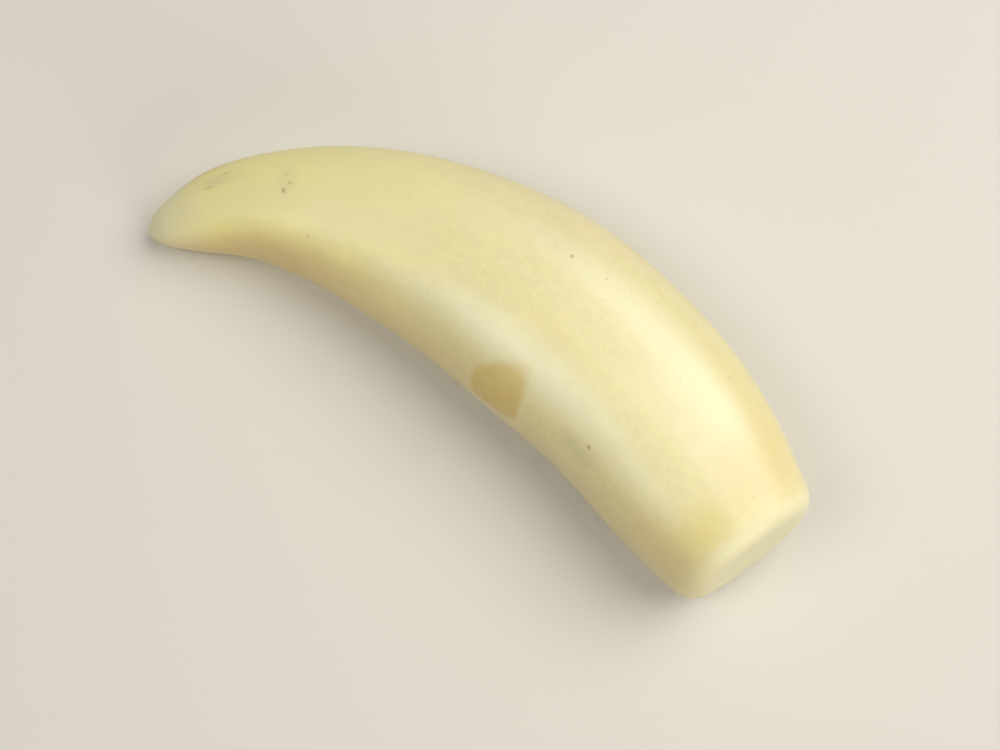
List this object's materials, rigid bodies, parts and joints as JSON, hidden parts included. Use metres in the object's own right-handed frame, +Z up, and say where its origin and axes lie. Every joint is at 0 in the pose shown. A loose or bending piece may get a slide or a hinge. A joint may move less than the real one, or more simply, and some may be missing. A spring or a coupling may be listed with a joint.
{
  "type": "polished whale tooth",
  "caption": "Solid curved ivory tooth with a blunt tip and a sawn, round-edged root, polished smooth and lying on its side as a display ornament or paperweight.",
  "frame": {"origin": "on the surface that the tooth lies on, under the middle of its bounding box", "axes": "+X runs from the tip to the sawn root, along the length; +Y is the side of the bulging edge of the crescent; +Z is up, square to the crescent, through its thickness"},
  "size_m": [0.1274, 0.0494, 0.0286],
  "materials": {
    "ivory": "polished cream ivory with tan staining, small dark pits and a satin gloss"
  },
  "bodies": {
    "root": {"tooth": "ivory"}
  },
  "joints": []
}
